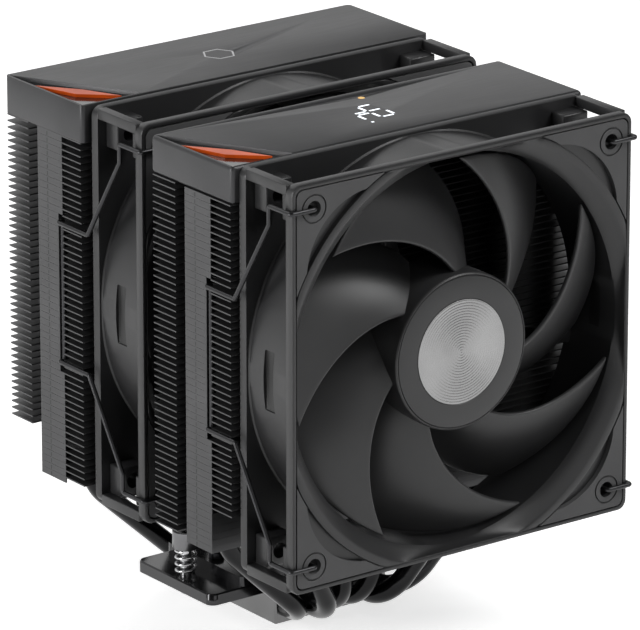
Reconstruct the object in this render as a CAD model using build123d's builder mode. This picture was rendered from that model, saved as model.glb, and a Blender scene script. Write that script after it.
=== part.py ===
from build123d import *
import math
import os

# Dual-tower cooler for a computer's processor: a cold plate, six heat pipes bent into a
# U, two stacks of fins, two fans held by wire clips, two lids and a sprung mounting bar.
# Millimetres. Origin: centre of the cold plate's underside. +Z up, -Y is the front.

# ---- overall sizes -------------------------------------------------------------
total_height = 157.0
tower_width = 124.4
tower_depth = 39.0
tower_gap = 33.9
fan_size = 120.0
fan_depth = 25.0

# ---- clearances ----------------------------------------------------------------
slip = 0.05          # between a part and the hole that locates it
running = 0.04       # radial, shaft in bearing
seat_gap = 1.3       # between the middle fan and the fins behind it

# ---- base ----------------------------------------------------------------------
plate_width, plate_depth, plate_height = 40.6, 37.0, 5.0
block_height = 6.0
pipe_d = 6.0
pipe_pitch = 6.6
pipe_count = 6
bar_width, bar_depth, bar_height = 87.0, 37.5, 3.5
bar_corner = 2.5
clamp_width, clamp_height = 65.0, 3.0
rib_width, rib_height = 46.0, 2.0
clamp_screw_x = 28.0
block_screw_x, block_screw_y = 16.0, 14.0
screw_head_d, screw_head_h, screw_shank_d = 4.6, 1.9, 2.6

# ---- spring screws -------------------------------------------------------------
spring_screw_x = 39.0
cap_d, cap_height, cap_wall = 7.8, 5.4, 1.0
spring_outer_d, spring_wire_d, spring_turns = 6.6, 0.9, 3.6
spring_length = 8.2
spring_shank_d, spring_tip_d = 3.4, 3.0
spring_tip_below = 2.4                # how far the threaded tip stands out below the bar
ring_d, ring_t = 5.2, 0.5

# ---- fin stacks ----------------------------------------------------------------
fin_pitch = 2.0
fin_t = 0.4
fin_count = 53
lid_skirt = 11.25
fin_inset = 0.9                       # fins stand back from the lid's front and back
tab_start, tab_end = 10.4, 22.7       # folded tabs close the side between these depths
groove_end, groove_depth = 27.3, 3.5
short_fins = 6                        # lowest fins stop short at the outer side
tower_pipe_x = (-47.5, -28.5, -9.5, 9.5, 28.5, 47.5)
front_pipe_depth = (24.5, 14.5, 24.5, 24.5, 14.5, 24.5)
rear_pipe_depth = (18.8, 11.6, 18.8, 18.8, 11.6, 18.8)
pipe_above_fins = 4.5
low_bend_y, bend_share = 31.0, 0.15   # low bends shift this share towards the tower place
pipe_rise_z = 34.0
low_bend_r, high_bend_r = 12.0, 14.0

# ---- lids ----------------------------------------------------------------------
lid_wall, lid_top = 1.5, 2.6
lid_corner = 1.4
notch_rim = 0.9
notch_reach = 21.5
notch_depth = 2.0
bezel_t, accent_t = 0.7, 1.0

# ---- fans ----------------------------------------------------------------------
fan_corner = 3.0
flange_t = 3.2
hole_pitch, hole_d = 105.0, 4.6
duct_r, duct_wall = 57.6, 1.5
rib_t = 3.2                           # square ribs that join the flanges at the corners
intake_r, intake_depth, intake_rim = 62.2, 3.6, 1.2
pad_inset, pad_inner_r, pad_t, pad_gap = 1.3, 64.5, 1.6, 0.3
scoop_size, scoop_corner = 110.0, 22.6
pad_groove_r, pad_groove_w = 4.0, 0.5
post_size, post_depth = 9.0, 5.8
blade_count = 7
blade_lead_root, blade_lead_gain, blade_lead_ease = -10.0, 52.3, 4.5
blade_sweep_root, blade_sweep_gain = 41.6, 4.0
blade_front, blade_back = 3.9, 20.2   # depth of the blades' two edges behind the fan's face
blade_bow = 2.2
blade_tip_r = 56.4
hub_r, hub_wall, hub_length = 23.2, 1.6, 18.0
hub_recess = 1.0                      # hub stands back from the fan's front face
disc_r, disc_t = 15.4, 0.6
shaft_d = 3.0
bearing_d = 6.0
boss_d = 9.0
motor_base_r, motor_base_t = 22.0, 3.0
strut_w, strut_count, strut_angle = 4.2, 3, 107.5
board_r, board_t = 18.5, 1.0
magnet_fit = 0.02                     # slack between magnet ring and hub wall
magnet_inner_r, magnet_length = 18.6, 11.0
core_r, core_t, core_arm_w = 17.6, 7.0, 5.0
label_r, label_t = 17.0, 0.3

# ---- wire clips ----------------------------------------------------------------
wire_d = 1.4
clip_bend_y = 9.5
clip_knee_z = 47.0
clip_elbow_y = 22.8
clip_leg_top, clip_leg_bottom = 22.4, -20.0
clip_leg_depth = 11.55                # leg's place behind the tower's front
clip_slot_w = 2.1
hook_length = 2.6

# ---- places worked out from the sizes above ------------------------------------
tower_y = (tower_gap + tower_depth) / 2
fan_z = total_height - fan_size / 2
front_fan_y = -tower_y - tower_depth / 2 - fan_depth
middle_fan_y = tower_y - tower_depth / 2 - fan_depth - seat_gap
lid_bottom = total_height - lid_skirt
top_fin_z = lid_bottom - slip - fin_t
bottom_fin_z = top_fin_z - (fin_count - 1) * fin_pitch
side_x = tower_width / 2
pipe_z = plate_height
block_top = plate_height + block_height
bar_top = block_top + bar_height
clamp_top = bar_top + clamp_height
pipe_r = pipe_d / 2
wire_r = wire_d / 2
TOWERS = (("front", -tower_y), ("rear", tower_y))
FANS = (("front", front_fan_y), ("middle", middle_fan_y))

os.makedirs("parts", exist_ok=True)


def save(shape, name):
    shape.label = name
    export_step(shape, f"parts/{name}.step")


def facing_front(y, z=fan_z):
    """A plane across the fans' axis at depth y. Its own y runs up, extrude(-t) goes back."""
    return Plane(origin=(0, y, z), x_dir=(1, 0, 0), z_dir=(0, -1, 0))


# ---- base: cold plate, block, mounting bar, clamp plate --------------------------
pipe_rows = [(i - (pipe_count - 1) / 2) * pipe_pitch for i in range(pipe_count)]


def cut_pipe_grooves():
    """Round channels along Y for the heat pipes, cut from the part being built."""
    with BuildSketch(Plane.XZ.offset(plate_depth)) as grooves:
        with Locations(*[(x, pipe_z) for x in pipe_rows]):
            Circle(pipe_r + slip)
    extrude(grooves.sketch, amount=-2 * plate_depth, mode=Mode.SUBTRACT)


with BuildPart() as cold_plate:
    with BuildSketch():
        RectangleRounded(plate_width, plate_depth, 0.8)
    extrude(amount=plate_height)
    chamfer(cold_plate.faces().sort_by(Axis.Z)[0].edges(), 0.3)
    cut_pipe_grooves()
save(cold_plate.part, "cold_plate")

with BuildPart() as base_block:
    with BuildSketch(Plane.XY.offset(plate_height)):
        RectangleRounded(plate_width, plate_depth, 0.8)
    extrude(amount=block_height)
    cut_pipe_grooves()
    with Locations(Plane.XY.offset(block_top)):
        with GridLocations(2 * block_screw_x, 2 * block_screw_y, 2, 2):
            Hole(screw_shank_d / 2 + slip, depth=block_height - 3.4)
save(base_block.part, "base_block")

with BuildPart() as mount_bar:
    with BuildSketch(Plane.XY.offset(block_top)):
        RectangleRounded(bar_width, bar_depth, bar_corner)
    extrude(amount=bar_height)
    with Locations(Plane.XY.offset(bar_top)):
        with GridLocations(2 * block_screw_x, 2 * block_screw_y, 2, 2):
            Hole(screw_shank_d / 2 + slip)
        with GridLocations(2 * clamp_screw_x, 1, 2, 1):
            Hole(screw_shank_d / 2 + slip)
        with GridLocations(2 * spring_screw_x, 1, 2, 1):
            Hole(spring_shank_d / 2 + 0.15)
    with Locations(Plane.XY.offset(block_top).rotated((180, 0, 0))):
        with GridLocations(2 * spring_screw_x, 1, 2, 1):
            Hole(ring_d / 2 + 0.4, depth=ring_t + 0.5)
    chamfer(mount_bar.faces().sort_by(Axis.Z)[-1].outer_wire().edges(), 0.4)
save(mount_bar.part, "mount_bar")

with BuildPart() as clamp_plate:
    with BuildSketch(Plane.XY.offset(bar_top)):
        RectangleRounded(clamp_width, plate_depth, 1.2)
    extrude(amount=clamp_height)
    with BuildSketch(Plane.XY.offset(clamp_top)):
        RectangleRounded(rib_width, plate_depth, 1.0)
    extrude(amount=rib_height)
    chamfer(clamp_plate.faces().sort_by(Axis.Z)[-1].edges(), 0.4)
    with Locations(Plane.XY.offset(clamp_top + rib_height)):
        with GridLocations(2 * block_screw_x, 2 * block_screw_y, 2, 2):
            Hole(screw_shank_d / 2 + slip)
    with Locations(Plane.XY.offset(clamp_top)):
        with GridLocations(2 * clamp_screw_x, 1, 2, 1):
            Hole(screw_shank_d / 2 + slip)
save(clamp_plate.part, "clamp_plate")


def pan_screw(seat_z, tip_z):
    """Pan-head screw with a hexagon socket, its head sitting on seat_z."""
    with BuildPart() as screw:
        with BuildSketch(Plane.XY.offset(tip_z)):
            Circle(screw_shank_d / 2)
        extrude(amount=seat_z - tip_z)
        with BuildSketch(Plane.XY.offset(seat_z)):
            Circle(screw_head_d / 2)
        extrude(amount=screw_head_h)
        top = screw.faces().sort_by(Axis.Z)[-1]
        fillet(top.edges(), 0.5)
        with BuildSketch(Plane.XY.offset(seat_z + screw_head_h)):
            RegularPolygon(1.0, 6, major_radius=False)
        extrude(amount=-1.1, mode=Mode.SUBTRACT)
    return screw.part


clamp_screw = pan_screw(clamp_top, block_top + 0.4)
save(Compound(children=[Pos(s * clamp_screw_x, 0, 0) * clamp_screw for s in (-1, 1)]), "clamp_screws")

block_screw = pan_screw(clamp_top + rib_height, block_top - block_height + 3.7)
save(
    Compound(
        children=[
            Pos(sx * block_screw_x, sy * block_screw_y, 0) * block_screw
            for sx in (-1, 1)
            for sy in (-1, 1)
        ]
    ),
    "block_screws",
)

# ---- spring screws: cap, spring, screw with its retaining ring ----------------------
cap_bottom = bar_top + spring_length + slip

for side, x in (("left", -spring_screw_x), ("right", spring_screw_x)):
    with BuildPart() as cap:
        with BuildSketch(Plane.XY.offset(cap_bottom)):
            with Locations((x, 0)):
                Circle(cap_d / 2)
                Circle(spring_shank_d / 2 + running, mode=Mode.SUBTRACT)
        extrude(amount=cap_height)
        with BuildSketch(Plane.XY.offset(cap_bottom + 1.4)):
            with Locations((x, 0)):
                Circle(cap_d / 2 - cap_wall)
        extrude(amount=cap_height, mode=Mode.SUBTRACT)
        chamfer(cap.faces().sort_by(Axis.Z)[0].outer_wire().edges(), 0.35)
    save(cap.part, f"{side}_spring_cap")

    with BuildPart() as screw:
        with BuildSketch(Plane.XY.offset(block_top - spring_tip_below)):
            with Locations((x, 0)):
                Circle(spring_tip_d / 2)
        extrude(amount=spring_tip_below + 1)
        chamfer(screw.faces().sort_by(Axis.Z)[0].edges(), 0.25)
        with BuildSketch(Plane.XY.offset(block_top + 0.5)):
            with Locations((x, 0)):
                Circle(spring_shank_d / 2)
        extrude(amount=cap_bottom + 1.4 + slip - block_top - 0.5)
        with BuildSketch(Plane.XY.offset(cap_bottom + 1.4 + slip)):
            with Locations((x, 0)):
                Circle(cap_d / 2 - cap_wall - 0.25)
        extrude(amount=3.4)
        head_z = screw.faces().sort_by(Axis.Z)[-1].center().Z
        fillet(screw.faces().sort_by(Axis.Z)[-1].edges(), 0.4)
        with BuildSketch(Plane.XY.offset(head_z)):
            with Locations((x, 0)):
                RegularPolygon(1.25, 6, major_radius=False)
        extrude(amount=-1.8, mode=Mode.SUBTRACT)
        with BuildSketch(Plane.XY.offset(block_top + 0.35)):
            with Locations((x, 0)):
                Circle(ring_d / 2)
        extrude(amount=ring_t)
    save(screw.part, f"{side}_spring_screw")

    coil_r = (spring_outer_d - spring_wire_d) / 2
    coil_pitch = (spring_length - spring_wire_d - 0.1) / spring_turns
    with BuildPart() as spring:
        with BuildLine() as coil:
            start = (x, 0, bar_top + spring_wire_d / 2 + slip)
            Helix(coil_pitch, coil_pitch * spring_turns, coil_r, center=start)
        with BuildSketch(Plane(origin=coil.line @ 0, z_dir=coil.line % 0)):
            Circle(spring_wire_d / 2)
        sweep(path=coil.line)
    save(spring.part, f"{side}_spring")

# ---- heat pipes ---------------------------------------------------------------------
pipe_top = top_fin_z + pipe_above_fins

for i, base_x in enumerate(pipe_rows):
    x = tower_pipe_x[i]
    front_y = -tower_y - tower_depth / 2 + front_pipe_depth[i]
    rear_y = tower_y - tower_depth / 2 + rear_pipe_depth[i]
    front_low = -low_bend_y + bend_share * (front_y + low_bend_y)
    rear_low = low_bend_y + bend_share * (rear_y - low_bend_y)
    with BuildPart() as pipe:
        with BuildLine() as route:
            FilletPolyline(
                (x, front_y, pipe_top),
                (x, front_y, pipe_rise_z),
                (base_x, front_low, pipe_z),
                (base_x, rear_low, pipe_z),
                (x, rear_y, pipe_rise_z),
                (x, rear_y, pipe_top),
                radius=[high_bend_r, low_bend_r, low_bend_r, high_bend_r],
            )
        with BuildSketch(Plane(origin=route.line @ 0, z_dir=route.line % 0)):
            Circle(pipe_r)
        sweep(path=route.line)
        fillet(pipe.faces().filter_by(Axis.Z).edges(), 1.6)
    save(pipe.part, f"heat_pipe_{i + 1}")

# ---- fin stacks ---------------------------------------------------------------------


def make_fin(outer, slot, short):
    """One aluminium fin lying at z = 0, its front edge at y = 0, with its folded side tabs.
    outer is -1 where the shortened side faces front and 1 where it faces back."""
    front, back = fin_inset, tower_depth - fin_inset
    if short and outer < 0:
        front = tab_start
    if short and outer > 0:
        back = tab_end
    depth = back - front
    wall_start = tab_start + clip_slot_w if slot else tab_start
    tab_h = fin_pitch - fin_t - slip
    with BuildPart() as fin:
        with BuildSketch():
            with Locations((0, front + depth / 2)):
                Rectangle(tower_width, depth)
            if back > groove_end:
                with Locations((-side_x, (tab_end + groove_end) / 2), (side_x, (tab_end + groove_end) / 2)):
                    Rectangle(2 * groove_depth, groove_end - tab_end, mode=Mode.SUBTRACT)
            if slot:
                slot_y = tab_start + clip_slot_w / 2
                with Locations((-side_x, slot_y), (side_x, slot_y)):
                    Rectangle(2 * clip_slot_w, clip_slot_w, mode=Mode.SUBTRACT)
            pipe_spots = list(zip(tower_pipe_x, front_pipe_depth if outer < 0 else rear_pipe_depth))
            with Locations(*pipe_spots):
                Circle(pipe_r + slip, mode=Mode.SUBTRACT)
        extrude(amount=fin_t)
        with BuildSketch():
            for side in (-1, 1):
                with Locations((side * (side_x - fin_t / 2), (wall_start + tab_end) / 2)):
                    Rectangle(fin_t, tab_end - wall_start)
            if short:
                edge = front + fin_t / 2 if outer < 0 else back - fin_t / 2
                with Locations((0, edge)):
                    Rectangle(tower_width, fin_t)
                with Locations(*pipe_spots):
                    Circle(pipe_r + slip, mode=Mode.SUBTRACT)
        extrude(amount=-tab_h)
    return fin.part


for name, centre_y in TOWERS:
    outer = -1 if centre_y < 0 else 1
    leg_span = (fan_z + clip_leg_bottom - 1.5, fan_z + clip_leg_top + 1.5)
    kinds = {(slot, short): make_fin(outer, slot, short) for slot, short in ((0, 0), (1, 0), (0, 1))}
    stack = []
    for i in range(fin_count):
        z = bottom_fin_z + i * fin_pitch
        slot = int(leg_span[0] < z + fin_t and z - fin_pitch < leg_span[1])
        short = int(i < short_fins)
        stack.append(Pos(0, centre_y - tower_depth / 2, z) * kinds[(slot, short)])
    save(Compound(children=stack), f"{name}_fin_stack")

# ---- lids ---------------------------------------------------------------------------
digit_w, digit_l, stroke = 5.0, 10.0, 0.85
digit_gap, bar_gap = 6.6, 0.5
inlay_t = 0.4
lamp_x, lamp_back, lamp_d = 6.6, 12.4, 2.0


def notch_outline(front_y, inset):
    """Corner of the recess at the left end of a lid: the whole depth of the lid on the
    left side, narrowing to a point on the front edge."""
    left, front = -side_x + notch_rim + inset, front_y + notch_rim + inset
    back = front_y + tower_depth - notch_rim - 2.2 * inset
    tip = -side_x + notch_reach - 3.2 * inset
    return [(left, front), (tip, front), (left, back)]


def seven_segments(lit, x, y):
    """Solids for one seven-segment figure read from the left side, flat under the top face."""
    half_w, half_l = digit_w / 2, digit_l / 4
    places = {
        "a": (2 * half_l, 0, 0), "d": (-2 * half_l, 0, 0), "g": (0, 0, 0),
        "f": (half_l, half_w, 1), "b": (half_l, -half_w, 1),
        "e": (-half_l, half_w, 1), "c": (-half_l, -half_w, 1),
    }
    bars = []
    for key in lit:
        across, along, upright = places[key]
        length = (digit_l / 2 if upright else digit_w) - stroke - bar_gap
        size = (length, stroke) if upright else (stroke, length)
        bars.append(Pos(x + across, y + along, total_height - inlay_t / 2) * Box(*size, inlay_t))
    return bars


figures = {"4": "fgbc", "2": "abged"}
display_y = -tower_y
inlay_z = total_height - inlay_t / 2
digit_bars = seven_segments(figures["4"], 0.0, display_y + digit_gap / 2)
digit_bars += seven_segments(figures["2"], 0.0, display_y - digit_gap / 2)
dot_y = display_y - digit_gap / 2 - digit_w
digit_bars.append(Pos(-digit_l / 2, dot_y, inlay_z) * Box(stroke, stroke, inlay_t))
status_lamp = Pos(lamp_x, display_y + lamp_back, inlay_z) * Cylinder(lamp_d / 2, inlay_t)
mark_size = 5.2
mark_line = 0.7

for name, centre_y in TOWERS:
    front_y = centre_y - tower_depth / 2
    with BuildPart() as lid:
        with BuildSketch(Plane.XY.offset(lid_bottom)):
            with Locations((0, centre_y)):
                RectangleRounded(tower_width, tower_depth, lid_corner)
        extrude(amount=lid_skirt)
        with BuildSketch(Plane.XY.offset(lid_bottom)):
            with Locations((0, centre_y)):
                RectangleRounded(tower_width - 2 * lid_wall, tower_depth - 2 * lid_wall, 0.6)
        extrude(amount=lid_skirt - lid_top, mode=Mode.SUBTRACT)
        with BuildSketch(Plane.XY.offset(total_height)):
            with BuildLine():
                Polyline(*notch_outline(front_y, 0), close=True)
            make_face()
        extrude(amount=-notch_depth, mode=Mode.SUBTRACT)
        if name == "front":
            for inlay in digit_bars + [status_lamp]:
                add(inlay, mode=Mode.SUBTRACT)
        else:
            with BuildSketch(Plane.XY.offset(total_height)):
                with Locations((0, centre_y)):
                    RegularPolygon(mark_size, 6)
                    RegularPolygon(mark_size - mark_line, 6, mode=Mode.SUBTRACT)
            extrude(amount=-inlay_t, mode=Mode.SUBTRACT)
    save(lid.part, f"{name}_lid")

    left, front = notch_outline(front_y, 0.1)[0]
    tip_x = notch_outline(front_y, 0.1)[1][0]
    back = notch_outline(front_y, 0.1)[2][1]
    floor = total_height - notch_depth

    with BuildPart() as bezel:
        with BuildSketch(Plane.XY.offset(floor + slip)):
            with BuildLine():
                Polyline(*notch_outline(front_y, 0.1), close=True)
            make_face()
        extrude(amount=bezel_t)
    save(bezel.part, f"{name}_corner_bezel")

    with BuildPart() as accent:
        with BuildSketch(Plane.XY.offset(floor + bezel_t + 2 * slip)):
            with BuildLine():
                Polyline(
                    (left + 0.1, front + 0.67 * (back - front)),
                    (left + 0.24 * (tip_x - left), front + 10.5),
                    (left + 0.72 * (tip_x - left), front + 1.4),
                    (left + 0.45 * (tip_x - left), front + 13.0),
                    close=True,
                )
            make_face()
        extrude(amount=accent_t)
    save(accent.part, f"{name}_accent")

save(Compound(children=digit_bars), "display_digits")
save(status_lamp, "status_lamp")

with BuildPart() as mark:
    with BuildSketch(Plane.XY.offset(total_height)):
        with Locations((0, tower_y)):
            RegularPolygon(mark_size - slip, 6)
            RegularPolygon(mark_size - mark_line + slip, 6, mode=Mode.SUBTRACT)
    extrude(amount=-inlay_t)
save(mark.part, "rear_lid_mark")

with BuildPart() as display_board:
    with BuildSketch(Plane.XY.offset(total_height - lid_top - 1.6 - slip)):
        with Locations((0, display_y)):
            RectangleRounded(24, 30, 1)
    extrude(amount=1.6)
save(display_board.part, "display_board")

# ---- fans ---------------------------------------------------------------------------


def pad_faces(gap):
    """Four corner patches outside the intake ring, gap short of the seat's own edges."""
    side = fan_size - 2 * (pad_inset + gap)
    RectangleRounded(side, side, fan_corner - 0.8)
    Circle(pad_inner_r + gap, mode=Mode.SUBTRACT)


def make_frame(y):
    inner_depth = fan_depth - 2 * flange_t
    with BuildPart() as frame:
        for depth in (0, fan_depth - flange_t):
            with BuildSketch(facing_front(y + depth)):
                RectangleRounded(fan_size, fan_size, fan_corner)
            extrude(amount=-flange_t)
        with BuildSketch(facing_front(y + flange_t)):
            with GridLocations(fan_size - rib_t, fan_size - rib_t, 2, 2):
                Rectangle(rib_t, rib_t)
            RectangleRounded(fan_size, fan_size, fan_corner, mode=Mode.INTERSECT)
            Circle(duct_r + duct_wall)
        extrude(amount=-inner_depth)
        for depth in (flange_t, fan_depth - flange_t - post_depth):
            with BuildSketch(facing_front(y + depth)):
                with GridLocations(hole_pitch, hole_pitch, 2, 2):
                    RectangleRounded(post_size, post_size, 1.5)
            extrude(amount=-post_depth)
        with BuildSketch(facing_front(y)):
            Circle(duct_r)
        extrude(amount=-fan_depth, mode=Mode.SUBTRACT)
        with BuildSketch(facing_front(y)):
            with GridLocations(hole_pitch, hole_pitch, 2, 2):
                Circle(hole_d / 2)
        extrude(amount=-fan_depth, mode=Mode.SUBTRACT)
        for depth, way in ((0, -1), (fan_depth, 1)):
            with BuildSketch(facing_front(y + depth)):
                pad_faces(0)
            extrude(amount=way * pad_t, mode=Mode.SUBTRACT)
        add(intake_flares[y], mode=Mode.SUBTRACT)
        base_y = y + fan_depth - motor_base_t
        with BuildSketch(facing_front(base_y)):
            Circle(motor_base_r)
            with PolarLocations((motor_base_r + duct_r) / 2, strut_count, start_angle=strut_angle):
                Rectangle(duct_r - motor_base_r + 3, strut_w)
        extrude(amount=-motor_base_t)
        boss_y = y + hub_recess + hub_wall + disc_t + 3.0
        with BuildSketch(facing_front(boss_y)):
            Circle(boss_d / 2)
        extrude(amount=-(base_y - boss_y) - 1)
        with BuildSketch(facing_front(boss_y)):
            Circle(bearing_d / 2)
        extrude(amount=-(base_y - boss_y), mode=Mode.SUBTRACT)
        with BuildSketch(facing_front(y + fan_depth)):
            Circle(label_r + 0.3)
        extrude(amount=label_t + slip, mode=Mode.SUBTRACT)
    return frame.part


def blade_section(r, y):
    """A blade's cross-section at radius r: a thin cambered shape lying across a flat plane
    that stands square to the radius."""
    share = (r - hub_r) / (blade_tip_r - hub_r)
    lead = blade_lead_root + (blade_lead_gain - blade_lead_ease * share) * share
    sweep_deg = blade_sweep_root + blade_sweep_gain * share
    middle = math.radians(lead - sweep_deg / 2)
    half = r * math.tan(math.radians(sweep_deg / 2)) * 0.96
    thick = 2.0 - 0.8 * share
    radial = Vector(math.cos(middle), 0, math.sin(middle))
    along = Vector(-math.sin(middle), 0, math.cos(middle))
    plane = Plane(
        origin=Vector(0, y, fan_z) + radial * r,
        x_dir=along,
        z_dir=radial,
    )
    side = 1 if plane.y_dir.Y > 0 else -1
    lead_pt = (half, side * blade_front)
    trail_pt = (-half, side * blade_back)
    mid = (-blade_bow, side * ((blade_front + blade_back) / 2 - blade_bow * 1.4))
    under = (mid[0] + thick * 0.4, mid[1] + side * thick)
    lead_back = (lead_pt[0] + 0.35, lead_pt[1] + side * 0.8)
    trail_back = (trail_pt[0] + 0.3, trail_pt[1] + side * 0.6)
    with BuildSketch(plane) as section:
        with BuildLine():
            Spline(lead_pt, mid, trail_pt)
            Line(trail_pt, trail_back)
            Spline(trail_back, under, lead_back)
            Line(lead_back, lead_pt)
        make_face()
    return section.sketch


def make_impeller(y):
    hub_y = y + hub_recess
    with BuildPart() as impeller:
        with BuildSketch(facing_front(hub_y)):
            Circle(hub_r)
        extrude(amount=-hub_length)
        fillet(impeller.faces().sort_by(Axis.Y)[0].edges(), 1.2)
        for n in range(blade_count):
            turn = Pos(0, 0, fan_z) * Rot(0, -n * 360 / blade_count, 0) * Pos(0, 0, -fan_z)
            add(turn * blade_solids[y])
        with BuildSketch(facing_front(hub_y + hub_wall + disc_t)):
            Circle(hub_r - hub_wall)
        extrude(amount=-hub_length, mode=Mode.SUBTRACT)
        with BuildSketch(facing_front(hub_y + hub_wall + disc_t)):
            Circle(shaft_d / 2 + 2.0)
        extrude(amount=-2.0)
        with BuildSketch(facing_front(hub_y)):
            Circle(disc_r + slip)
        extrude(amount=-disc_t, mode=Mode.SUBTRACT)
        with BuildSketch(facing_front(hub_y + disc_t + 0.6)):
            Circle(shaft_d / 2)
        extrude(amount=-4, mode=Mode.SUBTRACT)
    return impeller.part


blade_solids = {}
intake_flares = {}
for name, y in FANS:
    with BuildPart() as flare:
        with BuildSketch(facing_front(y)):
            Circle(intake_r)
        with BuildSketch(facing_front(y + intake_depth)):
            Circle(duct_r)
        loft()
        with BuildSketch(facing_front(y)):
            Rectangle(fan_size - 2 * intake_rim, fan_size - 2 * intake_rim)
        extrude(amount=-intake_depth, mode=Mode.INTERSECT)
    intake_flares[y] = flare.part
    with BuildPart() as blade:
        radii = [hub_r - 4.5, 30.0, 39.0, 48.0, blade_tip_r + 4.0]
        loft(sections=[blade_section(r, y) for r in radii])
        with BuildSketch(facing_front(y)):
            Circle(blade_tip_r)
        extrude(amount=-fan_depth, mode=Mode.INTERSECT)
    blade_solids[y] = blade.part

for name, y in FANS:
    save(make_frame(y), f"{name}_fan_frame")
    save(make_impeller(y), f"{name}_impeller")

    with BuildPart() as pads:
        for depth, way in ((0, -1), (fan_depth, 1)):
            with BuildSketch(facing_front(y + depth)):
                pad_faces(pad_gap)
                RectangleRounded(scoop_size, scoop_size, scoop_corner, mode=Mode.SUBTRACT)
                with GridLocations(hole_pitch, hole_pitch, 2, 2):
                    Circle(hole_d / 2, mode=Mode.SUBTRACT)
            extrude(amount=way * (pad_t - slip))
            with BuildSketch(facing_front(y + depth)):
                with GridLocations(hole_pitch, hole_pitch, 2, 2):
                    Circle(pad_groove_r + pad_groove_w / 2)
                    Circle(pad_groove_r - pad_groove_w / 2, mode=Mode.SUBTRACT)
            extrude(amount=way * 0.6, mode=Mode.SUBTRACT)
    save(pads.part, f"{name}_fan_pads")

    hub_y = y + hub_recess
    with BuildPart() as disc:
        with BuildSketch(facing_front(hub_y)):
            Circle(disc_r)
        extrude(amount=-disc_t + slip)
    save(disc.part, f"{name}_hub_disc")

    shaft_front = hub_y + disc_t + 0.6 + slip
    base_y = y + fan_depth - motor_base_t
    with BuildPart() as shaft:
        with BuildSketch(facing_front(shaft_front)):
            Circle(shaft_d / 2 - 0.01)
        extrude(amount=-(base_y - shaft_front - 0.4))
        chamfer(shaft.faces().filter_by(Axis.Y).edges(), 0.2)
    save(shaft.part, f"{name}_fan_shaft")

    boss_y = y + hub_recess + hub_wall + disc_t + 3.0
    with BuildPart() as sleeve:
        with BuildSketch(facing_front(boss_y + 0.2)):
            Circle(bearing_d / 2 - 0.01)
            Circle(shaft_d / 2 + running, mode=Mode.SUBTRACT)
        extrude(amount=-(base_y - boss_y - 0.4))
    save(sleeve.part, f"{name}_bearing_sleeve")

    magnet_y = hub_y + 4.0
    with BuildPart() as magnet:
        with BuildSketch(facing_front(magnet_y)):
            Circle(hub_r - hub_wall - magnet_fit)
            Circle(magnet_inner_r, mode=Mode.SUBTRACT)
        extrude(amount=-magnet_length)
    save(magnet.part, f"{name}_rotor_magnet")

    core_y = magnet_y + 2.0
    with BuildPart() as core:
        with BuildSketch(facing_front(core_y)):
            Circle(core_r)
            Circle(core_r - 2.0, mode=Mode.SUBTRACT)
            with PolarLocations(core_r, 4, start_angle=45):
                Rectangle(8, 5, mode=Mode.SUBTRACT)
            with PolarLocations(core_r / 2, 4):
                Rectangle(core_r - 1.0, core_arm_w)
            Circle(boss_d / 2 + 2.4)
            Circle(boss_d / 2 + 0.02, mode=Mode.SUBTRACT)
        extrude(amount=-core_t)
    save(core.part, f"{name}_stator_core")

    coil_mid_r = (boss_d / 2 + 2.4 + core_r - 2.0) / 2
    coil_length = core_r - 2.0 - boss_d / 2 - 2.4 - 2.0
    with BuildPart() as coils:
        with BuildSketch(facing_front(core_y - 1.4)):
            with PolarLocations(coil_mid_r, 4):
                Rectangle(coil_length, core_arm_w + 3.2)
        extrude(amount=-core_t - 2.8)
        with BuildSketch(facing_front(core_y - slip)):
            with PolarLocations(core_r / 2, 4):
                Rectangle(core_r, core_arm_w + 2 * slip)
        extrude(amount=-core_t - 2 * slip, mode=Mode.SUBTRACT)
    save(coils.part, f"{name}_stator_coils")

    with BuildPart() as board:
        with BuildSketch(facing_front(base_y - 0.3 - board_t)):
            Circle(board_r)
            Circle(boss_d / 2 + slip, mode=Mode.SUBTRACT)
        extrude(amount=-board_t)
    save(board.part, f"{name}_fan_board")

    with BuildPart() as label:
        with BuildSketch(facing_front(y + fan_depth)):
            Circle(label_r)
        extrude(amount=label_t)
    save(label.part, f"{name}_fan_label")

# ---- wire clips -----------------------------------------------------------------------
clip_leg_x = side_x - wire_r - 0.25

for name, y, tower_front in (
    ("front", front_fan_y, -tower_y - tower_depth / 2),
    ("middle", middle_fan_y, tower_y - tower_depth / 2),
):
    hook_x, hook_z = hole_pitch / 2, hole_pitch / 2
    face_y = y - wire_r - slip
    frame_x = fan_size / 2 + wire_r + 0.2
    out_x = side_x + wire_r + 0.15
    leg_y = tower_front + clip_leg_depth
    for side, way in (("left", -1), ("right", 1)):
        points = [(hook_x, y + hook_length, fan_z + hook_z), (hook_x, face_y, fan_z + hook_z),
                  (frame_x, face_y, fan_z + hook_z), (frame_x, y + clip_bend_y, fan_z + hook_z),
                  (frame_x, y + clip_bend_y, fan_z + clip_knee_z),
                  (out_x, y + clip_elbow_y, fan_z + clip_leg_top),
                  (out_x, leg_y, fan_z + clip_leg_top),
                  (clip_leg_x, leg_y, fan_z + clip_leg_top)]
        lower = [(px, py, 2 * fan_z - pz) for px, py, pz in reversed(points[:5])]
        lower = [(out_x, leg_y, fan_z + clip_leg_bottom),
                 (out_x, y + clip_elbow_y, fan_z + clip_leg_bottom)] + lower
        points += [(clip_leg_x, leg_y, fan_z + clip_leg_bottom)] + lower
        with BuildPart() as clip:
            with BuildLine() as route:
                FilletPolyline(*[(way * px, py, pz) for px, py, pz in points], radius=0.8)
            with BuildSketch(Plane(origin=route.line @ 0, z_dir=route.line % 0)):
                Circle(wire_r)
            sweep(path=route.line)
        save(clip.part, f"{name}_{side}_clip")
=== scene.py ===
import math

import bpy
import numpy as np
from mathutils import Matrix, Vector


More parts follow.
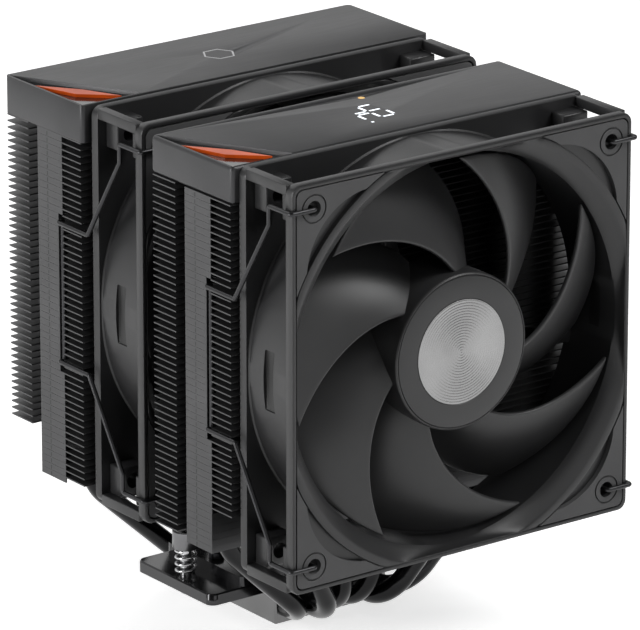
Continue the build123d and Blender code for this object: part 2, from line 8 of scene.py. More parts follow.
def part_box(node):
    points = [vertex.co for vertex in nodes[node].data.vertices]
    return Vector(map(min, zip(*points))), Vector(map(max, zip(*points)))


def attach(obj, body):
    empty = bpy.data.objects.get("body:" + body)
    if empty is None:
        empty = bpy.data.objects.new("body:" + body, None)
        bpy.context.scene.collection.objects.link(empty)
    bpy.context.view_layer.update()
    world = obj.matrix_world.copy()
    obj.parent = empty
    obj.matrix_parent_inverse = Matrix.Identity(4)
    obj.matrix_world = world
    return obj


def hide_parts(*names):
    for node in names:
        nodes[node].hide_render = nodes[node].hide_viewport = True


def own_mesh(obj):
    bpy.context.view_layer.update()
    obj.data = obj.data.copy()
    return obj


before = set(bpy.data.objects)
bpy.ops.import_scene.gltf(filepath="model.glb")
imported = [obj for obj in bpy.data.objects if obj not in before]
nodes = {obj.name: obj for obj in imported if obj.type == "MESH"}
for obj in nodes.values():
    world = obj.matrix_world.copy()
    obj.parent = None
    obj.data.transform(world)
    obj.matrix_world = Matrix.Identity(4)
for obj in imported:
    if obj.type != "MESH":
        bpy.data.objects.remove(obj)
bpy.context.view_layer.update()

# ---- The studio ---------------------------------------------------------------------
# A pale floor that curves up behind, a large soft light high on the right, a strip light
# for the left sides, and a weak fill from the front.
target = Vector((-0.02817, -0.05095, 0.10543))
azimuth, elevation, distance = math.radians(-36.657), math.radians(18.635), 1.8609
back = Vector((math.sin(azimuth) * math.cos(elevation), -math.cos(azimuth) * math.cos(elevation),
               math.sin(elevation)))
camera = bpy.data.objects.new("camera", bpy.data.cameras.new("camera"))
bpy.context.scene.collection.objects.link(camera)
camera.location = target + back * distance
camera.rotation_euler = (-back).to_track_quat("-Z", "Y").to_euler()
camera.data.lens, camera.data.sensor_width = 370.84, 36.0
camera.data.shift_y = 0.0017
camera.data.clip_start, camera.data.clip_end = 0.05, 30
bpy.context.scene.camera = camera

world = bpy.data.worlds.new("studio")
world.use_nodes = True
world.node_tree.nodes["Background"].inputs["Color"].default_value = (1, 1, 1, 1)
world.node_tree.nodes["Background"].inputs["Strength"].default_value = 0.05
bpy.context.scene.world = world
bpy.context.scene.view_settings.view_transform = "Standard"


def soft_light(name, place, aim, size, watts, size_y=None):
    lamp = bpy.data.lights.new(name, "AREA")
    lamp.shape, lamp.size, lamp.size_y = "RECTANGLE", size, size_y or size
    lamp.energy = watts
    holder = bpy.data.objects.new(name, lamp)
    bpy.context.scene.collection.objects.link(holder)
    holder.location = place
    holder.rotation_euler = (Vector(aim) - Vector(place)).to_track_quat("-Z", "Y").to_euler()


soft_light("key", (0.9, -0.9, 1.5), (0, 0, 0.1), 0.9, 17)
soft_light("left_strip", (-1.3, 0.15, 0.35), (0, 0, 0.09), 0.35, 13, 1.1)
soft_light("fill", (-0.2, -1.8, 0.7), (0, 0, 0.1), 1.2, 4.5)
soft_light("top_back", (0.0, 1.1, 1.3), (0, 0, 0.15), 1.2, 5, 0.5)


def deselect():
    """Leaves nothing selected, in object mode."""
    if bpy.context.object and bpy.context.object.mode != "OBJECT":
        bpy.ops.object.mode_set(mode="OBJECT")
    bpy.ops.object.select_all(action="DESELECT")


deselect()
bpy.ops.mesh.primitive_grid_add(x_subdivisions=4, y_subdivisions=60, size=1)
floor = bpy.context.object
floor.name = "studio_floor"
floor_length, floor_width, flat_length, flat_half, bend_length, floor_drop = 10.0, 14, 6.0, 3.0, 1.57, 0.0002
sheet = np.array([v.co for v in floor.data.vertices])
run = (sheet[:, 1] + 0.5) * floor_length
rise = np.clip(run - flat_length, 0, None)
curve = np.clip(rise / bend_length, 0, 1) * math.pi / 2
wall_rise = np.clip(rise - bend_length, 0, None)
sheet[:, 0] *= floor_width
sheet[:, 1] = np.where(rise > 0, flat_half + np.sin(curve), run - flat_half)
sheet[:, 2] = np.where(rise > 0, 1 - np.cos(curve) + wall_rise, 0) - floor_drop
floor.data.vertices.foreach_set("co", sheet.astype(np.float32).ravel())
bpy.ops.object.shade_smooth()
pale = bpy.data.materials.new("pale_floor")
pale.use_nodes = True
pale.node_tree.nodes["Principled BSDF"].inputs["Base Color"].default_value = (0.92, 0.92, 0.92, 1)
pale.node_tree.nodes["Principled BSDF"].inputs["Roughness"].default_value = 0.9
pale.node_tree.nodes["Principled BSDF"].inputs["Emission Color"].default_value = (1, 1, 1, 1)
pale.node_tree.nodes["Principled BSDF"].inputs["Emission Strength"].default_value = 0.7
floor.visible_diffuse = False
floor.data.materials.append(pale)

# ---- Base: cold plate, block, mounting bar and clamp plate --------------------------
# The plate and block are nickel-plated copper, soldered round the pipes. The bar and the
# clamp plate over it are steel with a polished black plating, held down by small screws.


def finish_of(name, colour, rough, metal=0.0, grain=0.0, grain_scale=2500.0, drift=0.12, coat=0.0,
              stretch=(1, 1, 1), specular=0.5):
    """A surface whose colour and roughness drift slightly, with its grain raised as bump."""
    made = bpy.data.materials.new(name)
    made.use_nodes = True
    tree = made.node_tree
    shader = tree.nodes["Principled BSDF"]
    shader.inputs["Metallic"].default_value = metal
    shader.inputs["Coat Weight"].default_value = coat
    shader.inputs["Coat Roughness"].default_value = 0.12
    shader.inputs["Specular IOR Level"].default_value = specular
    place = tree.nodes.new("ShaderNodeTexCoord")
    turn = tree.nodes.new("ShaderNodeMapping")
    turn.inputs["Scale"].default_value = stretch
    tree.links.new(place.outputs["Object"], turn.inputs["Vector"])
    cloud = tree.nodes.new("ShaderNodeTexNoise")
    cloud.inputs["Scale"].default_value = 60
    cloud.inputs["Detail"].default_value = 4
    tree.links.new(place.outputs["Object"], cloud.inputs["Vector"])
    ramp = tree.nodes.new("ShaderNodeValToRGB")
    ramp.color_ramp.elements[0].position, ramp.color_ramp.elements[1].position = 0.3, 0.7
    ramp.color_ramp.elements[0].color = [c * (1 - drift) for c in colour] + [1]
    ramp.color_ramp.elements[1].color = [min(1, c * (1 + drift)) for c in colour] + [1]
    tree.links.new(cloud.outputs["Fac"], ramp.inputs["Fac"])
    tree.links.new(ramp.outputs["Color"], shader.inputs["Base Color"])
    fine = tree.nodes.new("ShaderNodeTexNoise")
    fine.inputs["Scale"].default_value = grain_scale
    fine.inputs["Detail"].default_value = 2
    tree.links.new(turn.outputs["Vector"], fine.inputs["Vector"])
    spread = tree.nodes.new("ShaderNodeMapRange")
    spread.inputs["To Min"].default_value = rough * 0.85
    spread.inputs["To Max"].default_value = min(1, rough * 1.15)
    tree.links.new(fine.outputs["Fac"], spread.inputs["Value"])
    tree.links.new(spread.outputs["Result"], shader.inputs["Roughness"])
    if grain:
        bump = tree.nodes.new("ShaderNodeBump")
        bump.inputs["Strength"].default_value = grain
        bump.inputs["Distance"].default_value = 0.0001
        tree.links.new(fine.outputs["Fac"], bump.inputs["Height"])
        tree.links.new(bump.outputs["Normal"], shader.inputs["Normal"])
    return made


def dress(names, surface, edge=0.0):
    """Gives CAD nodes their surface, and where edge is set a small rounding on their corners."""
    for name in names:
        node = nodes[name]
        node.data.materials.clear()
        node.data.materials.append(surface)
        weld = node.modifiers.new("weld", "WELD")
        weld.merge_threshold = 0.000002
        if edge:
            bevel = node.modifiers.new("edges", "BEVEL")
            bevel.width, bevel.segments = edge, 2
            bevel.limit_method, bevel.angle_limit = "ANGLE", math.radians(40)
            bevel.harden_normals = False


plated = finish_of("nickel_plate", (0.2, 0.2, 0.2), 0.26, metal=1.0, grain=0.12, stretch=(1, 14, 1))
black_plate = finish_of("black_plating", (0.022, 0.022, 0.024), 0.16, metal=0.6, grain=0.04, coat=0.5)
dress(["cold_plate", "base_block"], plated)
dress(["mount_bar", "clamp_plate"], black_plate)
dark_screw = finish_of("black_oxide", (0.05, 0.05, 0.055), 0.32, metal=0.9, grain=0.1)
dress(["clamp_screws", "block_screws"], dark_screw)

# ---- Sprung screws ------------------------------------------------------------------
# Each end of the bar carries a captive steel screw in a turned cap, pushed up by a coil
# spring of bright drawn wire.
bright_steel = finish_of("bright_steel", (0.55, 0.55, 0.56), 0.22, metal=1.0, grain=0.08)
cap_grey = finish_of("turned_cap", (0.2, 0.2, 0.205), 0.3, metal=1.0, grain=0.1, stretch=(1, 1, 20))
dress(["left_spring_cap", "right_spring_cap"], cap_grey)
dress(["left_spring_screw", "right_spring_screw"], bright_steel)

spring_wire, spring_r, spring_turns = 0.00045, 0.00285, 3.6
for side in ("left", "right"):
    low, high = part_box(f"{side}_spring")
    middle_x = (low.x + high.x) / 2
    deselect()
    bpy.ops.mesh.primitive_circle_add(vertices=14, radius=spring_wire, fill_type="NGON",
                                      location=(spring_r, 0, 0), rotation=(math.pi / 2, 0, 0))
    coil = bpy.context.object
    coil.name = f"{side}_coil_spring"
    bpy.ops.object.transform_apply(location=True, rotation=True, scale=True)
    screw = coil.modifiers.new("turns", "SCREW")
    screw.steps = screw.render_steps = 36
    screw.iterations = 3
    rise = (high.z - low.z - 2 * spring_wire) / spring_turns
    screw.angle = math.tau * spring_turns / 3
    screw.screw_offset = rise * spring_turns / 3
    bpy.ops.object.modifier_apply(modifier="turns")
    coil.location = (middle_x, 0, low.z + spring_wire)
    bpy.ops.object.transform_apply(location=True, rotation=True, scale=True)
    bpy.ops.object.mode_set(mode="EDIT")
    bpy.ops.mesh.select_all(action="SELECT")
    bpy.ops.mesh.remove_doubles(threshold=0.000002)
    bpy.ops.mesh.normals_make_consistent(inside=False)
    bpy.ops.object.mode_set(mode="OBJECT")
    bpy.ops.object.shade_smooth()
    coil.data.materials.append(bright_steel)
    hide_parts(f"{side}_spring")
    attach(coil, "cooler")
    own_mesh(coil)

# ---- Heat pipes ---------------------------------------------------------------------
# Copper tubes with a glossy black plating, bent to a U, their closed ends drawn to a point.
pipe_black = finish_of("pipe_plating", (0.006, 0.006, 0.007), 0.2, metal=0.5, grain=0.05, coat=0.15,
                       specular=0.3)
dress([f"heat_pipe_{i}" for i in range(1, 7)], pipe_black)

# ---- Fin stacks ---------------------------------------------------------------------
# Thin aluminium sheets coated satin black and pressed on the pipes, their side tabs
# marked by a dashed fold line.
tab_x, fin_pitch, fold_back, fold_half, dash_share = 0.0596, 0.002, 0.0169, 0.0002, 0.62


def mask_step(tree, kind, first, second=0.0):
    """One arithmetic step of a mask; each input is a number or another step."""
    step = tree.nodes.new("ShaderNodeMath")
    step.operation = kind
    for socket, value in zip(step.inputs, (first, second)):
        if isinstance(value, float):
            socket.default_value = value
        else:
            tree.links.new(value, socket)
    return step.outputs[0]


def axes_of(tree):
    """The three Object coordinates of a material."""
    place = tree.nodes.new("ShaderNodeTexCoord")
    axes = tree.nodes.new("ShaderNodeSeparateXYZ")
    tree.links.new(place.outputs["Object"], axes.inputs["Vector"])
    return axes.outputs


def near(tree, value, middle, half):
    """One where a value lies within half of its middle, and nought elsewhere."""
    away = mask_step(tree, "ABSOLUTE", mask_step(tree, "SUBTRACT", value, middle))
    return mask_step(tree, "LESS_THAN", away, half)


def blacken(tree, mask):
    """Turns a surface near black where its mask is one."""
    base = tree.nodes["Principled BSDF"].inputs["Base Color"]
    shade = tree.nodes.new("ShaderNodeMix")
    shade.data_type = "RGBA"
    tree.links.new(mask, shade.inputs[0])
    tree.links.new(base.links[0].from_socket, shade.inputs[6])
    shade.inputs[7].default_value = (0.002, 0.002, 0.002, 1)
    tree.links.new(shade.outputs[2], base)


for tower in ("front", "rear"):
    fin_black = finish_of(f"{tower}_fin_coating", (0.068, 0.068, 0.07), 0.36, metal=0.5, grain=0.08)
    tree = fin_black.node_tree
    x, y, z = axes_of(tree)
    fold_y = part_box(f"{tower}_fin_stack")[0].y + fold_back
    on_fold = near(tree, y, fold_y, fold_half)
    on_tab = mask_step(tree, "GREATER_THAN", mask_step(tree, "ABSOLUTE", x), tab_x)
    along_pitch = mask_step(tree, "FRACT", mask_step(tree, "DIVIDE", z, fin_pitch))
    dash = mask_step(tree, "LESS_THAN", along_pitch, dash_share)
    blacken(tree, mask_step(tree, "MULTIPLY", mask_step(tree, "MULTIPLY", on_fold, on_tab), dash))
    dress([f"{tower}_fin_stack"], fin_black)

# ---- Lids ---------------------------------------------------------------------------
# A pressed cover snaps over each stack of fins. Its top is finely brushed and coated
# black, with a three-cornered recess at the left end that carries a coloured facet.
lid_top = finish_of("brushed_lid", (0.05, 0.05, 0.052), 0.38, metal=0.45, grain=0.05,
                    stretch=(0.03, 1, 1), grain_scale=3500)
top_z, skirt, wall, roof, lid_corner = 0.157, 0.01125, 0.0015, 0.0026, 0.0014
rim, reach, notch_depth = 0.0009, 0.0215, 0.002


def settle(piece, ids, body):
    """Puts a finished piece on its body in place of its CAD nodes."""
    deselect()
    piece.select_set(True)
    bpy.context.view_layer.objects.active = piece
    bpy.ops.object.transform_apply(location=True, rotation=True, scale=True)
    if ids:
        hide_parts(*ids)
    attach(piece, body)


def apply_all(piece):
    """Applies every modifier of a piece, in order."""
    deselect()
    piece.select_set(True)
    bpy.context.view_layer.objects.active = piece
    for modifier in list(piece.modifiers):
        bpy.ops.object.modifier_apply(modifier=modifier.name)


def cut(piece, tool, how="DIFFERENCE"):
    """Cuts one solid with another and throws the tool away."""
    boolean = piece.modifiers.new("cut", "BOOLEAN")
    boolean.operation, boolean.object, boolean.solver = how, tool, "EXACT"
    apply_all(piece)
    bpy.data.objects.remove(tool)


def rounded(piece, width, segments=2, angle=35):
    """Rounds a piece's sharp edges by a small bevel and shades it smooth between them."""
    bevel = piece.modifiers.new("edges", "BEVEL")
    bevel.width, bevel.segments = width, segments
    bevel.limit_method, bevel.angle_limit = "ANGLE", math.radians(angle)
    apply_all(piece)
    bpy.ops.object.shade_smooth_by_angle(angle=math.radians(50))


def prism(name, outline, low_z, high_z):
    """An upright prism on an outline of corners."""
    deselect()
    bpy.ops.mesh.primitive_cylinder_add(vertices=len(outline), radius=1, depth=1)
    made = bpy.context.object
    made.name = name
    for vertex in made.data.vertices:
        corner = round((math.atan2(vertex.co.x, vertex.co.y) % math.tau) / (math.tau / len(outline)))
        x, y = outline[corner % len(outline)]
        vertex.co = (x, y, high_z if vertex.co.z > 0 else low_z)
    bpy.ops.object.mode_set(mode="EDIT")
    bpy.ops.mesh.select_all(action="SELECT")
    bpy.ops.mesh.normals_make_consistent(inside=False)
    bpy.ops.object.mode_set(mode="OBJECT")
    return made


for tower in ("front", "rear"):
    low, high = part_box(f"{tower}_lid")
    centre = (low + high) / 2
    size = high - low
    deselect()
    bpy.ops.mesh.primitive_cube_add(size=1, location=(0, centre.y, top_z - skirt / 2))
    lid = bpy.context.object
    lid.name = f"{tower}_top_cover"
    lid.scale = (size.x, size.y, skirt)
    bpy.ops.object.transform_apply(location=True, rotation=True, scale=True)
    bpy.ops.object.mode_set(mode="EDIT")
    bpy.ops.mesh.select_all(action="DESELECT")
    bpy.ops.object.mode_set(mode="OBJECT")
    for edge in lid.data.edges:
        ends = [lid.data.vertices[i].co for i in edge.vertices]
        edge.select = abs(ends[0].z - ends[1].z) > skirt / 2
    bpy.ops.object.mode_set(mode="EDIT")
    bpy.ops.mesh.select_mode(type="EDGE")
    bpy.ops.mesh.bevel(offset=lid_corner, segments=5, affect="EDGES")
    bpy.ops.mesh.select_mode(type="FACE")
    bpy.ops.mesh.select_all(action="DESELECT")
    bpy.ops.object.mode_set(mode="OBJECT")
    for face in lid.data.polygons:
        face.select = face.normal.z < -0.9
    bpy.ops.object.mode_set(mode="EDIT")
    bpy.ops.mesh.inset(thickness=wall, depth=0)
    bpy.ops.mesh.extrude_region_move(TRANSFORM_OT_translate={"value": (0, 0, skirt - roof)})
    bpy.ops.object.mode_set(mode="OBJECT")
    left, front, rear_end = low.x + rim, low.y + rim, high.y - rim
    recess = prism("recess", [(left, front), (low.x + reach, front), (left, rear_end)],
                   top_z - notch_depth, top_z + 0.001)
    cut(lid, recess)
    rounded(lid, 0.00022)
    for inlay in ["display_digits", "status_lamp"] if tower == "front" else ["rear_lid_mark"]:
        pocket = bpy.data.objects.new("pocket", nodes[inlay].data.copy())
        bpy.context.scene.collection.objects.link(pocket)
        pocket.data.transform(nodes[inlay].matrix_world)
        for vertex in pocket.data.vertices:
            if vertex.co.z > top_z - 0.00005:
                vertex.co.z = top_z + 0.0005
        deselect()
        pocket.select_set(True)
        bpy.context.view_layer.objects.active = pocket
        bpy.ops.object.mode_set(mode="EDIT")
        bpy.ops.mesh.select_all(action="SELECT")
        bpy.ops.mesh.remove_doubles(threshold=0.000002)
        bpy.ops.object.mode_set(mode="OBJECT")
        cut(lid, pocket)
    lid.data.materials.clear()
    lid.data.materials.append(lid_top)
    settle(lid, [f"{tower}_lid"], "cooler")

# ---- Recess trim --------------------------------------------------------------------
# A gloss black plate lies in each lid's recess, with a bent facet of clear orange-red
# plastic across it.
gloss_black = finish_of("gloss_black", (0.015, 0.015, 0.016), 0.12, coat=0.8)
orange = finish_of("orange_facet", (0.85, 0.1, 0.008), 0.3, coat=0.2, drift=0.35, specular=0.25)
dress(["front_corner_bezel", "rear_corner_bezel"], gloss_black)
dress(["front_accent", "rear_accent"], orange)

# ---- Display ------------------------------------------------------------------------
# Small lit bars under the front lid's surface show a figure, with an amber lamp beside
# them; a pale outline is printed on the rear lid.
lit = finish_of("lit_digits", (0.9, 0.93, 1.0), 0.4)
lit.node_tree.nodes["Principled BSDF"].inputs["Emission Color"].default_value = (0.85, 0.92, 1.0, 1)
lit.node_tree.nodes["Principled BSDF"].inputs["Emission Strength"].default_value = 1.2
dress(["display_digits"], lit)
amber = finish_of("amber_lamp", (0.9, 0.55, 0.15), 0.4)
amber.node_tree.nodes["Principled BSDF"].inputs["Emission Color"].default_value = (1.0, 0.6, 0.2, 1)
amber.node_tree.nodes["Principled BSDF"].inputs["Emission Strength"].default_value = 0.35
dress(["status_lamp"], amber)
dress(["rear_lid_mark"], finish_of("pale_print", (0.6, 0.6, 0.61), 0.4))
dress(["display_board"], finish_of("solder_mask", (0.02, 0.08, 0.03), 0.3))

# ---- Fan housings -------------------------------------------------------------------
# Square frames moulded in matt black plastic: a flared intake, a round duct between two
# flanges, posts at the corner holes, corner ribs, and a motor base on three struts. The
# pocket in each side of the housings is painted near black as painted shade.
housing_black = finish_of("housing_plastic", (0.026, 0.026, 0.027), 0.4, grain=0.18, grain_scale=4200)
fan_z = 0.097
# Painted shade: inside the side pockets the housing colour is turned near black, standing in for the shade
# that falls in them.
painted_shade_half, painted_shade_x, painted_shade_at, painted_shade_deep = 0.0087, 0.0572, 0.01255, 0.0022
tree = housing_black.node_tree
x, y, z = axes_of(tree)
by_height = near(tree, z, fan_z, painted_shade_half)
by_side = mask_step(tree, "GREATER_THAN", mask_step(tree, "ABSOLUTE", x), painted_shade_x)
by_depth = None
for fan in ("front", "middle"):
    slot_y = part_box(f"{fan}_fan_frame")[0].y + painted_shade_at
    here = near(tree, y, slot_y, painted_shade_deep)
    by_depth = mask_step(tree, "ADD", by_depth, here) if by_depth else here
blacken(tree, mask_step(tree, "MULTIPLY", mask_step(tree, "MULTIPLY", by_height, by_side), by_depth))
corner_steps = [0, 0.4, 0.8, 1.2, 1.6, 2.1]
quarter = sorted({-45 + 90 * i / 44 for i in range(45)} | {45 - s for s in corner_steps}
                 | {-45 + s for s in corner_steps})[:-1]
angles = np.radians([q + 90 * k for k in range(4) for q in quarter])


def square_reach(half, corner):
    """How far a rounded square reaches from its middle, at each angle of the frame's rings."""
    c, s = np.abs(np.cos(angles)), np.abs(np.sin(angles))
    flat = half / np.maximum(c, s)
    core = half - corner
    along = core * (c + s)
    arc = along + np.sqrt(np.maximum(along ** 2 - 2 * core ** 2 + corner ** 2, 0))
    in_corner = (flat * c > core) & (flat * s > core)
    return np.where(in_corner, arc, flat)


def turned_ring(name, rings, centre, count):
    """A closed ring of rings: each is (reach, depth) where either may differ round the axis,
    which runs front to back through centre."""
    deselect()
    bpy.ops.mesh.primitive_torus_add(major_segments=count, minor_segments=len(rings), major_radius=1,
                                     minor_radius=0.2)
    made = bpy.context.object
    made.name = name
    turns = angles if count == len(angles) else np.arange(count) * math.tau / count
    place = np.zeros((count, len(rings), 3))
    for j, (reach_at, depth_at) in enumerate(rings):
        place[:, j, 0] = centre[0] + reach_at * np.cos(turns)
        place[:, j, 1] = centre[1] + depth_at
        place[:, j, 2] = centre[2] + reach_at * np.sin(turns)
    made.data.vertices.foreach_set("co", place.astype(np.float32).ravel())
    bpy.ops.object.mode_set(mode="EDIT")
    bpy.ops.mesh.select_all(action="SELECT")
    bpy.ops.mesh.remove_doubles(threshold=0.000001)
    bpy.ops.mesh.normals_make_consistent(inside=False)
    bpy.ops.object.mode_set(mode="OBJECT")
    return made


def join(parts, name):
    """Joins finished parts of one moulding."""
    deselect()
    for part in parts:
        part.select_set(True)
    bpy.context.view_layer.objects.active = parts[0]
    bpy.ops.object.join()
    parts[0].name = name
    return parts[0]


def block(name, low, high, edge):
    """A plain bar with rounded edges between two corners."""
    deselect()
    bpy.ops.mesh.primitive_cube_add(size=1, location=[(a + b) / 2 for a, b in zip(low, high)])
    made = bpy.context.object
    made.name = name
    made.scale = [b - a for a, b in zip(low, high)]
    bpy.ops.object.transform_apply(location=True, rotation=True, scale=True)
    rounded(made, edge)
    return made


hole_at, hole_r, post_half, post_depth = 0.0525, 0.0023, 0.0045, 0.0058
recess_half, recess_front, recess_back = 0.0089, 0.0103, 0.0148
recess_x, recess_reach = 0.0597, 0.0018
rib_in, rib_out, rib_front, rib_back = 0.0568, 0.0599, 0.003, 0.022
drill_y, drill_length, post_starts = 0.0125, 0.04, (0.0031, 0.0161)
strut_first, strut_count, strut_half = 107.5, 3, 0.0021
strut_in, strut_out, strut_front, strut_back = 0.0212, 0.0582, 0.0221, 0.0249

for fan in ("front", "middle"):
    low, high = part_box(f"{fan}_fan_frame")
    face_y = low.y
    centre = (0, face_y, fan_z)
    mm = 0.001

    def within(r, half, corner=2.2):
        flat = square_reach(half * mm, corner * mm)
        return ((r * mm) ** -160.0 + flat ** -160.0) ** (-1 / 160)

    seat_in, seat_out = within(64.5, 58.5), square_reach(58.7 * mm, 2.2 * mm)
    seat_depth = 1.6 * mm * np.clip((seat_out - seat_in) / (1.5 * mm), 0.02, 1)
    rings = [
        (57.6 * mm, 24.5 * mm), (57.6 * mm, 3.9 * mm), (within(58.0, 57.9), 3.3 * mm),
        (within(58.9, 58.0), 2.3 * mm), (within(60.2, 58.1), 1.3 * mm), (within(61.3, 58.2), 0.6 * mm),
        (within(61.9, 58.3), 0.2 * mm), (within(62.4, 58.36), 0), (within(64.1, 58.42), 0),
        (within(64.4, 58.46), 0.1 * mm), (seat_in, np.minimum(0.35 * mm, seat_depth)),
        (seat_in, seat_depth), (seat_out, seat_depth), (seat_out, np.minimum(0.3 * mm, seat_depth)),
        (square_reach(58.8 * mm, 2.3 * mm), 0.08 * mm), (square_reach(59.0 * mm, 2.4 * mm), 0),
        (square_reach(59.5 * mm, 2.6 * mm), 0), (square_reach(59.85 * mm, 2.85 * mm), 0.12 * mm),
        (square_reach(60 * mm, 3 * mm), 0.5 * mm), (square_reach(60 * mm, 3 * mm), 2.9 * mm),
        (square_reach(59.85 * mm, 2.9 * mm), 3.2 * mm), (within(59.6, 59.5), 3.2 * mm),
        (59.1 * mm, 3.6 * mm), (59.1 * mm, 21.4 * mm), (within(59.6, 59.5), 21.8 * mm),
        (square_reach(59.85 * mm, 2.9 * mm), 21.8 * mm), (square_reach(60 * mm, 3 * mm), 22.1 * mm),
        (square_reach(60 * mm, 3 * mm), 24.6 * mm), (square_reach(59.7 * mm, 2.8 * mm), 25 * mm),
        (square_reach(58.9 * mm, 2.3 * mm), 25 * mm),
        (seat_out, 25 * mm - np.minimum(0.2 * mm, seat_depth)),
        (seat_out, 25 * mm - seat_depth), (seat_in, 25 * mm - seat_depth),
        (seat_in, 25 * mm - np.minimum(0.2 * mm, seat_depth)), (within(64.2, 58.4), 25 * mm),
        (within(58.1, 58.0), 25 * mm),
    ]
    shell = turned_ring(f"{fan}_housing", rings, centre, len(angles))
    for sx in (-1, 1):
        for sz in (-1, 1):
            deselect()
            bpy.ops.mesh.primitive_cylinder_add(
                vertices=40, radius=hole_r, depth=drill_length,
                location=(sx * hole_at, face_y + drill_y, fan_z + sz * hole_at), rotation=(math.pi / 2, 0, 0))
            cut(shell, bpy.context.object)
    for sx in (-1, 1):
        recess = block("recess", (sx * recess_x - recess_reach, face_y + recess_front, fan_z - recess_half),
                       (sx * recess_x + recess_reach, face_y + recess_back, fan_z + recess_half), 0.0004)
        cut(shell, recess)
    bpy.ops.object.shade_smooth_by_angle(angle=math.radians(28))
    parts = [shell]
    for sx in (-1, 1):
        for sz in (-1, 1):
            near_x, far_x = sorted((sx * rib_in, sx * rib_out))
            near_z, far_z = sorted((fan_z + sz * rib_in, fan_z + sz * rib_out))
            parts.append(block("rib", (near_x, face_y + rib_front, near_z),
                               (far_x, face_y + rib_back, far_z), 0.0003))
    for sx in (-1, 1):
        for sz in (-1, 1):
            for start in post_starts:
                hole_x, hole_z = sx * hole_at, fan_z + sz * hole_at
                post = block("post", (hole_x - post_half, face_y + start, hole_z - post_half),
                             (hole_x + post_half, face_y + start + post_depth, hole_z + post_half),
                             0.0005)
                deselect()
                bpy.ops.mesh.primitive_cylinder_add(
                    vertices=32, radius=hole_r, depth=drill_length,
                    location=(hole_x, face_y + drill_y, hole_z), rotation=(math.pi / 2, 0, 0))
                cut(post, bpy.context.object)
                bpy.ops.object.shade_smooth_by_angle(angle=math.radians(50))
                parts.append(post)
    base_rings = [(0.0001, 0.0), (0.0215, 0.0), (0.022, 0.0004), (0.022, 0.0026), (0.0216, 0.003),
                  (0.0174, 0.003), (0.0173, 0.00265), (0.0001, 0.00265)]
    motor_base = turned_ring("motor_base", base_rings, (0, face_y + 0.022, fan_z), 96)
    bpy.ops.object.shade_smooth_by_angle(angle=math.radians(40))
    parts.append(motor_base)
    for k in range(strut_count):
        strut = block("strut", (strut_in, face_y + strut_front, -strut_half),
                      (strut_out, face_y + strut_back, strut_half), 0.0006)
        turned = Matrix.Rotation(math.radians(-strut_first - 360 / strut_count * k), 4, "Y")
        strut.data.transform(Matrix.Translation((0, 0, fan_z)) @ turned)
        parts.append(strut)
    housing = join(parts, f"{fan}_fan_housing")
    housing.data.materials.append(housing_black)
    settle(housing, [f"{fan}_fan_frame"], "cooler")

# ---- Corner pads --------------------------------------------------------------------
# Soft grey rubber pads sit in the housings' corners, front and back, with a ring groove
# round each hole.
pad_grey = finish_of("pad_rubber", (0.115, 0.115, 0.117), 0.62, grain=0.25, grain_scale=5200)
dress(["front_fan_pads", "middle_fan_pads"], pad_grey)

# ---- Impellers ----------------------------------------------------------------------
# Hub and swept blades moulded in one piece of satin black plastic; the hub's rim stands
# round a dished ring and a bright turned disc.
blade_black = finish_of("blade_plastic", (0.036, 0.036, 0.037), 0.4, grain=0.1, grain_scale=3800)
hub_r, tip_r, blade_count = 0.0232, 0.0564, 7
rows, columns = 26, 18
lead_root, lead_gain, lead_ease = -10.0, 52.3, 4.5
sweep_root, sweep_gain = 41.6, 4.0
edge_depth, chord_depth, camber = 0.0039, 0.0164, 0.15
root_overlap, blade_t, blade_edge = 0.0012, 0.0014, 0.0005

for fan in ("front", "middle"):
    face_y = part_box(f"{fan}_fan_frame")[0].y
    hub_y = face_y + 0.001
    hub_rings = [(0.0001, 0.0014), (0.0153, 0.0014), (0.01545, 0.0002), (0.0157, 0.0), (0.0219, 0.0),
                 (0.0222, 0.0001), (0.0223, 0.0003), (0.02235, 0.0004), (0.0225, 0.0001), (0.0227, 0.0001),
                 (0.02305, 0.0004), (0.0232, 0.0009), (0.0232, 0.0178), (0.0230, 0.018), (0.0218, 0.018),
                 (0.0216, 0.0178), (0.0216, 0.0023), (0.0001, 0.0023)]
    hub = turned_ring("hub", hub_rings, (0, hub_y, fan_z), 128)
    bpy.ops.object.shade_smooth_by_angle(angle=math.radians(35))
    deselect()
    bpy.ops.mesh.primitive_grid_add(x_subdivisions=columns - 1, y_subdivisions=rows - 1, size=2)
    blade = bpy.context.object
    grid = np.array([v.co for v in blade.data.vertices])
    chord, span = (grid[:, 0] + 1) / 2, (grid[:, 1] + 1) / 2
    r = (hub_r - root_overlap) + span * (tip_r - hub_r + root_overlap)
    share = (r - hub_r) / (tip_r - hub_r)
    lead = lead_root + (lead_gain - lead_ease * share) * share
    sweep = sweep_root + sweep_gain * share
    turn = np.radians(lead - sweep * chord)
    depth = edge_depth + chord_depth * (chord - camber * np.sin(math.pi * chord))
    shape = np.stack([r * np.cos(turn), face_y + depth, fan_z + r * np.sin(turn)], axis=1)
    blade.data.vertices.foreach_set("co", shape.astype(np.float32).ravel())
    thick = blade.modifiers.new("thickness", "SOLIDIFY")
    thick.thickness, thick.offset = blade_t, 0.0
    edge = blade.modifiers.new("edges", "BEVEL")
    edge.width, edge.segments = blade_edge, 3
    edge.limit_method, edge.angle_limit = "ANGLE", math.radians(50)
    apply_all(blade)
    bpy.ops.object.shade_smooth_by_angle(angle=math.radians(60))
    blades = []
    for k in range(blade_count):
        copy = blade.copy()
        copy.data = blade.data.copy()
        bpy.context.scene.collection.objects.link(copy)
        about = Matrix.Translation((0, 0, fan_z))
        copy.data.transform(about @ Matrix.Rotation(math.tau * k / blade_count, 4, "Y") @ about.inverted())
        blades.append(copy)
    bpy.data.objects.remove(blade)
    impeller = join([hub] + blades, f"{fan}_bladed_hub")
    impeller.data.materials.append(blade_black)
    settle(impeller, [f"{fan}_impeller"], f"{fan}_rotor")

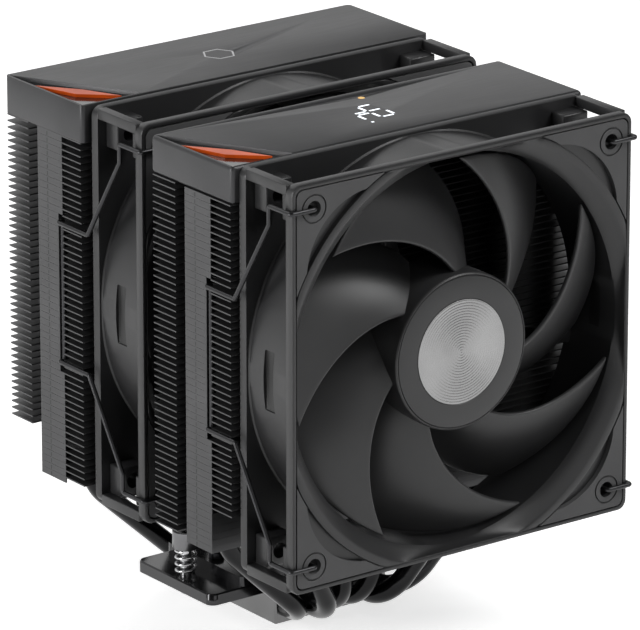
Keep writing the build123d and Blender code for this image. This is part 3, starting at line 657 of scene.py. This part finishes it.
# ---- Hub discs ----------------------------------------------------------------------
# Aluminium discs turned with fine rings, glued into the hubs.
disc_bright = finish_of("turned_disc", (0.27, 0.27, 0.27), 0.26, metal=1.0)
tree = disc_bright.node_tree
shader = tree.nodes["Principled BSDF"]
place = tree.nodes.new("ShaderNodeTexCoord")
about = tree.nodes.new("ShaderNodeMapping")
about.inputs["Location"].default_value = (0, 0, -fan_z)
about.inputs["Scale"].default_value = (1, 0, 1)
tree.links.new(place.outputs["Object"], about.inputs["Vector"])
ripple = tree.nodes.new("ShaderNodeTexWave")
ripple.wave_type, ripple.rings_direction = "RINGS", "SPHERICAL"
ripple.inputs["Scale"].default_value = 390
tree.links.new(about.outputs["Vector"], ripple.inputs["Vector"])
bump = tree.nodes.new("ShaderNodeBump")
bump.inputs["Strength"].default_value = 0.6
bump.inputs["Distance"].default_value = 0.0001
tree.links.new(ripple.outputs["Fac"], bump.inputs["Height"])
tree.links.new(bump.outputs["Normal"], shader.inputs["Normal"])
dress(["front_hub_disc", "middle_hub_disc"], disc_bright)

# ---- Motors -------------------------------------------------------------------------
# Inside each hub: ground shaft in a bronze sleeve, ferrite ring, laminated core with
# enamelled coils, and a small board; a printed film covers the motor base.
bronze = finish_of("sintered_bronze", (0.55, 0.38, 0.16), 0.5, metal=1.0, grain=0.2)
ferrite = finish_of("bonded_ferrite", (0.05, 0.047, 0.045), 0.6, grain=0.2)
laminate = finish_of("laminated_core", (0.32, 0.32, 0.34), 0.45, metal=1.0, grain=0.2)
enamel = finish_of("enamelled_copper", (0.6, 0.24, 0.09), 0.3, metal=0.9, grain=0.3)
green_board = finish_of("board_green", (0.02, 0.08, 0.03), 0.35)
film = finish_of("label_film", (0.03, 0.03, 0.032), 0.5)
for fan in ("front", "middle"):
    dress([f"{fan}_fan_shaft"], bright_steel)
    dress([f"{fan}_bearing_sleeve"], bronze)
    dress([f"{fan}_rotor_magnet"], ferrite)
    dress([f"{fan}_stator_core"], laminate)
    dress([f"{fan}_stator_coils"], enamel)
    dress([f"{fan}_fan_board"], green_board)
    dress([f"{fan}_fan_label"], film)

# ---- Wire clips ---------------------------------------------------------------------
# Hard spring wire, bent cold and coated black, hooked in the fans' corner holes.
clip_black = finish_of("clip_coating", (0.04, 0.04, 0.042), 0.3, metal=0.7, grain=0.06)
dress([f"{fan}_{side}_clip" for fan in ("front", "middle") for side in ("left", "right")], clip_black)
